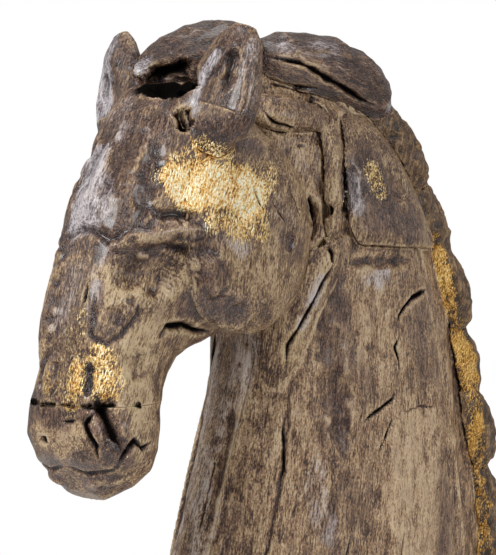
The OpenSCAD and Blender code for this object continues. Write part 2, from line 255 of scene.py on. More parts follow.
class PointMesh:
    """A mesh whose points are held in mm, with what smoothing needs."""

    def __init__(self, mesh: bpy.types.Mesh) -> None:
        """Read the mesh's points and edges."""
        self.mesh = mesh
        flat = np.empty(len(mesh.edges) * 2, dtype=np.int64)
        mesh.edges.foreach_get("vertices", flat)
        self.starts, self.ends = flat.reshape(-1, 2).T
        self.points = self._vectors(mesh.vertices, "co") / MM
        degree = np.bincount(flat, minlength=len(self.points))
        self.degree = np.maximum(degree, 1)[:, None]
        self.normals = self.fresh_normals()

    def _vectors(self, items: bpy.types.bpy_prop_collection, name: str) -> np.ndarray:
        """Read one vector per item."""
        flat = np.empty(len(items) * 3)
        items.foreach_get(name, flat)
        return flat.reshape(-1, 3)

    def write_points(self) -> None:
        """Write the points back to the mesh, in metres."""
        self.mesh.vertices.foreach_set("co", (self.points * MM).ravel())
        self.mesh.update()

    def fresh_normals(self) -> np.ndarray:
        """Write the points and read the mesh's point normals."""
        self.write_points()
        return self._vectors(self.mesh.vertex_normals, "vector")

    def neighbour_mean(self, values: np.ndarray) -> np.ndarray:
        """Average three values per point over its neighbours."""
        a, b, n = self.starts, self.ends, len(values)
        sums = [np.bincount(a, c[b], n) + np.bincount(b, c[a], n) for c in values.T]
        return np.stack(sums, axis=1) / self.degree

    def tree(self) -> BVHTree:
        """A search tree of the mesh as it is now, in metres."""
        work = bmesh.new()
        work.from_mesh(self.mesh)
        tree = BVHTree.FromBMesh(work)
        work.free()
        return tree


class Blend:
    """The form that neighbouring pieces make together, worn smooth. Each piece is dressed flush to it."""

    def __init__(self, nodes: tuple[str, ...], voxel: float, rounds: int) -> None:
        """Join the solids and wear their seams smooth.

        Args:
            nodes: Names of the solids.
            voxel: Size of the joined mesh's faces in mm.
            rounds: How many times to smooth it.
        """
        self.shells = {node: merged_copy(node) for node in nodes}
        self.rest: dict[str, BVHTree] = {}
        for node in nodes:
            others = bmesh.new()
            for name, shell in self.shells.items():
                if name != node:
                    self._append(others, shell)
            self.rest[node] = BVHTree.FromBMesh(others)
            others.free()
        joined = bmesh.new()
        for shell in self.shells.values():
            self._append(joined, shell)
            shell.free()
        form = PointMesh(voxel_mesh(joined, voxel))
        for _ in range(rounds):
            form.points += 0.5 * (form.neighbour_mean(form.points) - form.points)
        form.write_points()
        self.form = form.tree()
        bpy.data.meshes.remove(form.mesh)

    def _append(self, target: bmesh.types.BMesh, shell: bmesh.types.BMesh) -> None:
        """Add a shell's faces to another bmesh."""
        made = [target.verts.new(v.co) for v in shell.verts]
        shell.verts.index_update()
        for face in shell.faces:
            target.faces.new([made[v.index] for v in face.verts])


# ---- a carved piece ------------------------------------------------------


class Carving(PointMesh):
    """One carved piece, from the copy of its solid to the finished mesh."""

    def __init__(self, node: str, voxel: float, in_head: bool = False) -> None:
        """Start a piece.

        Args:
            node: The solid that the piece stands for.
            voxel: Size of the mesh's faces in mm.
            in_head: True if its strokes and patches are given in the head's own frame.
        """
        super().__init__(voxel_mesh(merged_copy(node), voxel))
        self.node = node
        self.in_head = in_head
        self.coats = {coat: np.zeros(len(self.points)) for coat in Coat}
        self.held = np.zeros(len(self.points))
        self.level = np.zeros(len(self.points))

    def move(self, shift: np.ndarray) -> None:
        """Move the points, except those that are held, and those of a level joint only sideways."""
        shift = shift * (1 - self.held)[:, None]
        shift[:, 2] *= 1 - self.level
        self.points += shift
        self.normals = self.fresh_normals()

    def smooth(self, rounds: int, shares: tuple[float, ...] = (0.6, -0.62)) -> None:
        """Smooth the surface.

        Args:
            rounds: How many times.
            shares: How far each pass goes. The usual two only even out facets; one alone takes wood away.
        """
        start = self.points.copy()
        for share in shares * rounds:
            self.points += share * (self.neighbour_mean(self.points) - self.points)
        shift, self.points = self.points - start, start
        self.move(shift)

    def settle(self, blend: Blend, near: float, reach: float) -> None:
        """Dress the piece flush with its neighbours near the seams.

        Args:
            blend: The form that the pieces make together.
            near: How far from a seam the piece is dressed, in mm.
            reach: The furthest that a point moves, in mm.
        """
        rest, form = blend.rest[self.node], blend.form
        shift = np.zeros_like(self.points)
        for i, (point, normal) in enumerate(zip((self.points * MM).tolist(), self.normals.tolist())):
            other, away, _, seam = rest.find_nearest(point, near * MM)
            if other is None:
                continue
            buried = (other - Vector(point)).dot(away) / MM
            if buried > 1:
                continue
            spot, facing, _, gap = form.find_nearest(point, reach * MM)
            if spot is None:
                continue
            outward = facing.dot(normal)
            if outward > 0.1:
                weight = min(1, (outward - 0.1) / 0.4) * min(1, 2 - 2 * seam / (near * MM))
                weight *= min(1, 2.5 - 2.5 * gap / (reach * MM)) * min(1, 1 - buried)
                shift[i] = [(new - old) * weight for new, old in zip(spot, point)]
        self.move(shift / MM)

    def local(self) -> np.ndarray:
        """The points in the frame that the piece's strokes are given in."""
        return to_head(self.points) if self.in_head else self.points

    def roughen(self, cell: float, height: float, seed: int, stretch: Triple = (1, 1, 1)) -> None:
        """Push the surface in and out by smooth noise.

        Args:
            cell: Size of the bumps in mm.
            height: How far the surface moves either way, in mm.
            seed: Which random field to use.
            stretch: How much longer the bumps are along each axis.
        """
        noise = lattice_noise(self.local() / np.array(stretch), cell, seed)
        self.move((height * noise)[:, None] * self.normals)

    def chisel_flats(self, cell: float, height: float, seed: int) -> None:
        """Leave the shallow flats of a chisel: noise folded so that flats meet in soft edges.

        Args:
            cell: Distance between flats in mm.
            height: Depth of the flats in mm.
            seed: Which random field to use.
        """
        fold = 1 - np.abs(lattice_noise(self.local(), cell, seed))
        fold += 0.3 * (1 - np.abs(lattice_noise(self.local(), cell * 0.5, seed + 1)))
        self.move((height * (fold - 1.0))[:, None] * self.normals)

    def _sides(self, both: bool) -> tuple[int, ...]:
        """Which sides a stroke or patch is made on: 1 is as given, -1 is mirrored."""
        return (1, -1) if both else (1,)

    def _place(self, points: np.ndarray, side: int) -> np.ndarray:
        """Put given points on their side and into the bust's frame."""
        placed = points * np.array((side, 1, 1))
        return from_head(placed) if self.in_head else placed

    def _on_surface(self, path: np.ndarray, tree: BVHTree, reach: float) -> np.ndarray:
        """Fill in a path every millimetre and set it down on the surface.

        Args:
            path: The path's given points, in mm.
            tree: Search tree of the mesh, in metres.
            reach: Points further than this from the surface are left out, in mm.

        Returns:
            The points on the surface in mm, with the share of the path as a fourth column.
        """
        rows = []
        for point, share in zip(*densify(path)):
            hit = tree.find_nearest(Vector(point * MM), reach * MM)[0]
            if hit is not None:
                rows.append((*(np.array(hit) / MM), share))
        return np.array(rows)

    def carve(self, strokes: tuple[Stroke, ...]) -> None:
        """Cut every stroke that reaches this piece.

        Args:
            strokes: The strokes, in the piece's own frame.
        """
        tree = self.tree()
        before = self.points.copy()
        for stroke in strokes:
            for side in self._sides(stroke.mirror):
                path = self._place(np.array(stroke.points, dtype=float), side)
                on = self._on_surface(path, tree, 6.0)
                if len(on) > 1:
                    self._cut(stroke, on, side)
        shift, self.points = self.points - before, before
        self.move(shift)

    def _cut(self, stroke: Stroke, on: np.ndarray, side: int) -> None:
        """Move the points under one stroke along their normals.

        Args:
            stroke: The stroke to cut.
            on: Its path on the surface in mm, with the share along it.
            side: 1 as given, -1 mirrored.
        """
        margin = stroke.width
        low, high = on[:, :3].min(0) - margin, on[:, :3].max(0) + margin
        near = np.nonzero(np.all((self.points > low) & (self.points < high), axis=1))[0]
        if not len(near):
            return
        gap = self.points[near, None, :] - on[None, :, :3]
        distance = np.linalg.norm(gap, axis=2)
        nearest = distance.argmin(axis=1)
        distance = distance[np.arange(len(near)), nearest]
        share = on[nearest, 3]
        taper = np.clip(np.minimum(share, 1 - share) * 4 + 0.04, 0, 1)
        wobble = 1 + 0.45 * lattice_noise(self.points[near], 4.0, 77)
        reach = distance / (0.5 * stroke.width * np.sqrt(taper) * wobble)
        if stroke.cut is Cut.CRACK:
            shape = -np.clip(1 - reach, 0, 1) ** 1.3
        elif stroke.cut is Cut.GOUGE:
            shape = -np.clip(1 - reach**2, 0, 1) ** 2
        elif stroke.cut is Cut.RIDGE:
            shape = np.clip(1 - reach**2, 0, 1) ** 2
        else:
            along = np.gradient(on[:, :3], axis=0)[nearest]
            across = np.cross(along, self.normals[near]) * side
            offset = np.einsum("ij,ij->i", gap[np.arange(len(near)), nearest], across)
            offset /= np.maximum(np.linalg.norm(across, axis=1), 1e-6)
            shape = -np.clip(1 - reach, 0, 1) ** 1.5 * ramp(offset, -0.5, 0.6)
        self.points[near] += (stroke.depth * taper * shape)[:, None] * self.normals[near]
        # Black along the cut: in a crack, or as painted shade in a hole or gap.
        if stroke.soot:
            dark = stroke.soot * np.clip(1.3 - reach * 1.5, 0, 1) * np.sqrt(taper)
            self.coats[Coat.BLACK_AND_SHADE][near] = np.maximum(self.coats[Coat.BLACK_AND_SHADE][near], dark)

    def coat(self, patches: tuple[Patch, ...]) -> None:
        """Lay the patches of stain, silvery painted highlight, gold leaf, pale wood, and black and painted
        shade.

        Args:
            patches: The patches, in the piece's own frame.
        """
        for patch in patches:
            for side in self._sides(patch.mirror):
                line = densify(self._place(np.array(patch.points, dtype=float), side))[0]
                margin = patch.radius * 1.5
                inside = (self.points > line.min(0) - margin) & (self.points < line.max(0) + margin)
                near = np.nonzero(np.all(inside, axis=1))[0]
                if not len(near):
                    continue
                gap = np.linalg.norm(self.points[near, None] - line[None], axis=2).min(axis=1)
                uneven = 0.3 * lattice_noise(self.points[near], 6.0, 31)
                uneven += 0.4 * lattice_noise(self.points[near], 17.0, 32)
                ragged = patch.radius * (1 + uneven)
                value = patch.strength * (1 - ramp(gap / ragged, 0.4, 1.15))
                held = self.coats[patch.coat]
                held[near] = np.maximum(held[near], value)

    def hollows(self, rounds: int, scale: float) -> np.ndarray:
        """How hollow (positive) or proud (negative) the surface is at each point.

        Args:
            rounds: How widely to compare.
            scale: The height in mm that counts as one.
        """
        mean = self.points.copy()
        for _ in range(rounds):
            mean = self.neighbour_mean(mean)
        return np.einsum("ij,ij->i", mean - self.points, self.normals) / scale

    def finish(self, finish: "Finish", slot: str, grain: np.ndarray) -> bpy.types.Object:
        """Write the mesh and its coats, dress it and put it in place of its solid.

        Args:
            finish: The finish that the piece gets.
            slot: Not used.
            grain: Along, across and into the grain, in mm, for each point.

        Returns:
            The finished piece.
        """
        self.write_points()
        hollow = np.clip(self.hollows(3, 0.25), -1, 1) * 0.45 + np.clip(self.hollows(16, 1.0), -1, 1) * 0.6
        self._attribute("hollow", hollow)
        for coat in Coat:
            self._attribute(coat.value, self.coats[coat])
        layer = self.mesh.attributes.new("grain", "FLOAT_VECTOR", "POINT")
        layer.data.foreach_set("vector", grain.ravel())
        self.mesh.shade_smooth()
        piece = add_object(f"{self.node}_carved", self.mesh)
        piece.data.materials.clear()
        piece.data.materials.append(finish.material)
        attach(piece, "root")
        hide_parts(self.node)
        LOG.info("%s: %d points", piece.name, len(self.points))
        return piece

    def _attribute(self, name: str, values: np.ndarray) -> None:
        """Store one value per point on the mesh."""
        layer = self.mesh.attributes.new(name, "FLOAT", "POINT")
        layer.data.foreach_set("value", values)


# ---- grain ---------------------------------------------------------------


def grain_along(
    points: np.ndarray, along: Triple, bend: float = 0.0, centre: Triple = (0, 0, 0)
) -> np.ndarray:
    """Grain that runs through a piece, straight or bowed.

    Args:
        points: Points in mm.
        along: The direction of the grain.
        bend: How strongly the fibres bow, in 1 / mm.
        centre: Where a bowed grain is parallel to its direction, in mm.

    Returns:
        Along, across and into the grain, in mm.
    """
    a = np.array(along) / np.linalg.norm(along)
    helper = np.array((1.0, 0, 0)) if abs(a[0]) < 0.8 else np.array((0, 1.0, 0))
    b = np.cross(a, helper)
    b /= np.linalg.norm(b)
    c = np.cross(a, b)
    q = points - np.array(centre)
    run = q @ a
    wave = 1.8 * lattice_noise(points, 28.0, 5) + bend * run**2
    return np.stack((run, q @ b + wave, q @ c), axis=1)


# ---- finishes ------------------------------------------------------------


def add_node(tree: bpy.types.NodeTree, kind: str, settings: dict | None = None, **inputs) -> bpy.types.Node:
    """Add a shader node with its settings and links.

    Args:
        tree: The node tree.
        kind: The node's type, without its "ShaderNode" start.
        settings: Properties of the node itself.
        **inputs: Values or output sockets, by socket name with spaces as underscores, or i0, i1... by number.

    Returns:
        The new node.
    """
    node = tree.nodes.new(f"ShaderNode{kind}")
    for key, value in (settings or {}).items():
        setattr(node, key, value)
    for key, value in inputs.items():
        numbered = key[0] == "i" and key[1:].isdigit()
        socket = node.inputs[int(key[1:])] if numbered else node.inputs[key.replace("_", " ")]
        if isinstance(value, Socket):
            tree.links.new(value, socket)
        else:
            socket.default_value = value
    return node


class Finish:
    """A finish that makes its material once and hands it out after that."""

    name: str

    @cached_property
    def material(self) -> bpy.types.Material:
        """The finish's material."""
        made = bpy.data.materials.new(self.name)
        made.use_nodes = True
        tree = made.node_tree
        tree.nodes.clear()
        shader = tree.nodes.new("ShaderNodeBsdfPrincipled")
        output = tree.nodes.new("ShaderNodeOutputMaterial")
        tree.links.new(shader.outputs[0], output.inputs[0])
        self.build(tree, shader)
        return made

    def build(self, tree: bpy.types.NodeTree, shader: bpy.types.Node) -> None:
        """Make the nodes that feed the shader."""
        raise NotImplementedError


RGBA = {"data_type": "RGBA"}  # makes a Mix node mix colours
PAINTED_HIGHLIGHT_SHADES = ("#4c4142", "#8f8588", "#d2ccd0")  # painted highlight on the wood, silvery grey, from between the fibres to the high ones


@dataclass(frozen=True)
class BrushedWood(Finish):
    """Wire-brushed limewood under stain and wax: fine open grain, a soft shine, leaf where it was gilded."""

    name: str
    wood: tuple[str, ...] = ("#38241c", "#6c5140", "#a28460", "#cdb48f")  # from the pores to the bare fibres
    stained: tuple[str, ...] = ("#1d0f0d", "#432a23", "#86644f")  # the same under purple-brown stain
    level: float = 0.0  # how light (positive) or dark the whole piece is
    stain_level: float = 0.0  # stain on the whole piece, on top of its patches
    gilt_level: float = 0.0  # leaf on the whole piece, on top of its patches
    leaf: tuple[str, ...] = ("#6d3f1c", "#cd8d3a", "#f3d186", "#fffbe2")  # gold leaf, from thin to whole, the lightest a painted glint

    def build(self, tree: bpy.types.NodeTree, shader: bpy.types.Node) -> None:
        """Lay fibres, stain, the painted highlight, black and painted shade, and leaf over each other."""

        def total(base: Source, *terms: tuple[Source, Source]) -> Socket:
            """A number or pattern with shares of other patterns added to it."""
            for source, share in terms:
                adding = {"operation": "MULTIPLY_ADD"}
                base = add_node(tree, "Math", adding, i0=source, i1=share, i2=base).outputs[0]
            return base

        def fibres(along: float, across: float, detail: float) -> Socket:
            """Noise drawn out along the grain: length and width of its marks in mm."""
            scale = (1 / along, 1 / across, 1 / across)
            place = add_node(tree, "VectorMath", {"operation": "MULTIPLY"}, i0=grain, i1=scale).outputs[0]
            noise = {"Vector": place, "Scale": 1.0, "Detail": detail, "Roughness": 0.6}
            return add_node(tree, "TexNoise", None, **noise).outputs["Fac"]

        def spread(amount: Socket, low: float, high: float) -> Socket:
            """Where a coat lies: bare below low, whole above high."""
            soft = {"interpolation_type": "SMOOTHSTEP"}
            return add_node(tree, "MapRange", soft, Value=amount, From_Min=low, From_Max=high).outputs[0]

        def laid(coat: Socket, under: Socket, over: Socket | tuple[float, ...]) -> Socket:
            """One colour laid over another where its coat is."""
            return add_node(tree, "Mix", RGBA, i0=coat, i6=under, i7=over).outputs[2]

        def shades(source: Socket, low: float, high: float, colours: tuple[str, ...]) -> Socket:
            """Colours from dark to light, evenly between low and high."""
            node = add_node(tree, "ValToRGB", None, i0=source)
            for _ in colours[2:]:
                node.color_ramp.elements.new(0.5)
            places = np.linspace(low, high, len(colours))
            for element, place, colour in zip(node.color_ramp.elements, places, colours):
                element.position = place
                element.color = linear(colour)
            return node.outputs[0]

        grain = add_node(tree, "Attribute", {"attribute_name": "grain"}).outputs["Vector"]
        fibre = fibres(4.0, 0.6, 2.0)
        streak = fibres(12.0, 1.5, 2.0)
        blotch = fibres(13.0, 8.0, 5.0)
        speck = fibres(1.3, 0.8, 2.0)
        stain, rub, gilt, pale, soot, hollow = (
            add_node(tree, "Attribute", {"attribute_name": name}).outputs["Fac"]
            for name in (*(coat.value for coat in Coat), "hollow")
        )

        # Brushed wood: fine dark lines and specks between light fibres.
        tone = total(self.level - 0.17, (fibre, 0.42), (streak, 0.23), (speck, 0.35), (blotch, 0.34))
        # Painted shade: the wood a little darker in the hollows.
        tone = total(tone, (pale, 0.07), (hollow, -0.09))
        wood = shades(tone, 0.405, 0.61, self.wood)

        # Purple-brown stain, ragged along the fibres, with more of it in the hollows as painted shade.
        stain = total(self.stain_level - 1.45, (stain, 1.0), (blotch, 2.0), (fibre, 0.9), (hollow, 0.6))
        stain = spread(stain, 0.08, 0.8)
        wood = laid(total(0.0, (stain, 0.9)), wood, shades(tone, 0.4, 0.61, self.stained))

        # Painted highlight: silvery grey along the fibres of the proud places, where the wax would shine.
        rub = spread(total(-0.95, (rub, 1.0), (fibre, 0.9), (blotch, 1.0), (hollow, -0.3)), 0.2, 1.0)
        wood = laid(total(0.0, (rub, 0.85)), wood, shades(tone, 0.36, 0.58, PAINTED_HIGHLIGHT_SHADES))

        # Black in the cracks, and painted shade: black in the holes and in the deepest hollows, where shade
        # falls.
        soot = total(-0.3, (soot, 1.0), (speck, 0.6))
        hollow_shade = total(-0.5, (hollow, 1.0))
        deeper = add_node(tree, "Math", {"operation": "MAXIMUM"}, i0=soot, i1=hollow_shade).outputs[0]
        soot = spread(deeper, 0.3, 0.75)
        unblackened = total(1.0, (soot, -1.0))
        wood = laid(soot, wood, linear("#0d0c0b"))

        # Gold leaf, broken by specks and by the fibres under it.
        leaf = total(self.gilt_level - 1.75, (gilt, 1.0), (hollow, -0.3))
        leaf = total(leaf, (blotch, 0.9), (speck, 1.5), (fibre, 1.1))
        leaf = total(0.0, (spread(leaf, 0.4, 0.7), unblackened))
        # Painted glints: the leaf's colour rises to near white at random specks and fibres.
        gleam = total(-0.92, (gilt, 0.25), (speck, 0.9), (fibre, 0.8), (blotch, 0.5))
        colour = laid(leaf, wood, shades(gleam, 0.12, 0.56, self.leaf))

        # Stained and waxed wood shines more than the bare fibres, and the black and painted shade don't
        # shine.
        settings = {"From_Min": 0.38, "From_Max": 0.62, "To_Min": 0.34, "To_Max": 0.5}
        roughness = add_node(tree, "MapRange", None, Value=tone, **settings).outputs[0]
        relief = total(fibre, (streak, 0.5), (speck, total(0.4, (leaf, 0.5))))
        bump = add_node(tree, "Bump", None, Strength=0.9, Distance=0.8 * MM, Height=relief)
        for name, socket in {
            "Base Color": colour,
            "Roughness": total(roughness, (stain, -0.14), (soot, 0.5)),
            "Metallic": total(0.0, (leaf, 0.6)),
            "Specular IOR Level": total(0.5, (soot, -0.5)),
            "Normal": bump.outputs[0],
            "Coat Weight": total(0.0, (total(0.12, (stain, 0.35)), unblackened)),
        }.items():
            tree.links.new(socket, shader.inputs[name])
        shader.inputs["Coat Roughness"].default_value = 0.22


@dataclass(frozen=True)
class PlainFinish(Finish):
    """Two colours mixed by fine noise, for the pieces that aren't carved."""

    name: str
    colours: tuple[str, str]
    marks: Triple  # size of the grain or fibres along each axis, in mm
    detail: float
    roughness: float
    bump: float = 0.0  # strength of the relief
    relief: float = 0.2  # its height in mm
    between: tuple[float, float] = (0.0, 1.0)  # the part of the noise that goes from one colour to the other
    sheen: float = 0.0

    def build(self, tree: bpy.types.NodeTree, shader: bpy.types.Node) -> None:
        """Mix the colours by the noise."""
        place = add_node(tree, "TexCoord").outputs["Object"]
        scale = [1 / (mark * MM) for mark in self.marks]
        scaled = add_node(tree, "VectorMath", {"operation": "MULTIPLY"}, i0=place, i1=scale).outputs[0]
        grain = add_node(tree, "TexNoise", None, Vector=scaled, Scale=1.0, Detail=self.detail).outputs["Fac"]
        low, high = self.between
        share = add_node(tree, "MapRange", None, Value=grain, From_Min=low, From_Max=high).outputs[0]
        first, second = map(linear, self.colours)
        mixed = add_node(tree, "Mix", RGBA, i0=share, i6=first, i7=second)
        tree.links.new(mixed.outputs[2], shader.inputs["Base Color"])
        if self.bump:
            height = {"Strength": self.bump, "Distance": self.relief * MM, "Height": grain}
            tree.links.new(add_node(tree, "Bump", None, **height).outputs[0], shader.inputs["Normal"])
        shader.inputs["Roughness"].default_value = self.roughness
        shader.inputs["Sheen Weight"].default_value = self.sheen


class ZincSteel(Finish):
    """Zinc-plated steel of the screws: a dull silver with faint turning marks."""

    name = "zinc_plated_steel"

    def build(self, tree: bpy.types.NodeTree, shader: bpy.types.Node) -> None:
        """Break the shine up with fine noise."""
        place = add_node(tree, "TexCoord").outputs["Object"]
        marks = add_node(tree, "TexNoise", None, Vector=place, Scale=900.0, Detail=2.0)
        rough = add_node(tree, "MapRange", None, Value=marks.outputs["Fac"], To_Min=0.28, To_Max=0.5)
        tree.links.new(rough.outputs[0], shader.inputs["Roughness"])
        shader.inputs["Base Color"].default_value = linear("#c3c5c8")
        shader.inputs["Metallic"].default_value = 1.0


# Dark stained and waxed beech: close, straight grain under a satin shine.
BOARD_BEECH = PlainFinish(
    "stained_beech_board", ("#2a1d18", "#4b372b"), (0.909, 35.71, 0.909), 4.0, 0.38, 0.3, between=(0.3, 0.7)
)
# Dark green wool felt: matt, with short random fibres.
FELT = PlainFinish("wool_felt", ("#20261c", "#3a4433"), (0.714, 0.714, 0.714), 3.0, 0.95, 0.6, 0.3, sheen=0.4)
# Bare turned beech of the dowels and pins: pale, with short brown flecks.
TURNED_BEECH = PlainFinish("turned_beech", ("#c9a77c", "#a57e54"), (1.667, 1.667, 1.667), 4.0, 0.6)
ZINC = ZincSteel()
# The same carved wood, more or less stained, on each part of the horse.
HEAD_WOOD = BrushedWood("brushed_wood_head", level=-0.012, stain_level=0.05)
CHEEK_WOOD = BrushedWood("brushed_wood_cheek")
EAR_WOOD = BrushedWood("brushed_wood_ear", level=-0.02, stain_level=0.42)
HAIR_WOOD = BrushedWood("brushed_wood_hair", level=-0.03, stain_level=0.8)
LOBE_WOOD = BrushedWood("brushed_wood_lobe", level=-0.015, stain_level=0.32)
STRIP_WOOD = BrushedWood("brushed_wood_strip", level=-0.01, stain_level=0.05)
NECK_WOOD = BrushedWood("brushed_wood_neck", ("#36231c", "#7a5c46", "#b0906c", "#d2b997"), stain_level=0.04)
MANE_GILT = BrushedWood(
    "gilded_mane",
    wood=("#2c1f17", "#4f3a28", "#75583a", "#9c7c53"),
    stained=("#241a17", "#3f2f29", "#5f4a3d"),
    gilt_level=-0.02,
    # The mane's leaf, its lightest gold a painted glint.
    leaf=("#5f3d18", "#c48a34", "#ffdc8a"),
)


@dataclass(frozen=True)
class Wear:
    """How a group's surface is left by the chisel and by time. The noise depends on place, so it runs on from
    one piece to the next."""

    flats: float
    flat_depth: float
    bumps: float
    bump_height: float
    seed: int
    stretch: Triple = (1.0, 1.0, 1.0)

    def put_on(self, piece: Carving) -> None:
        """Wear one piece."""
        piece.chisel_flats(self.flats, self.flat_depth, self.seed)
        piece.roughen(self.bumps, self.bump_height, self.seed + 5, self.stretch)


# ---- the head ------------------------------------------------------------


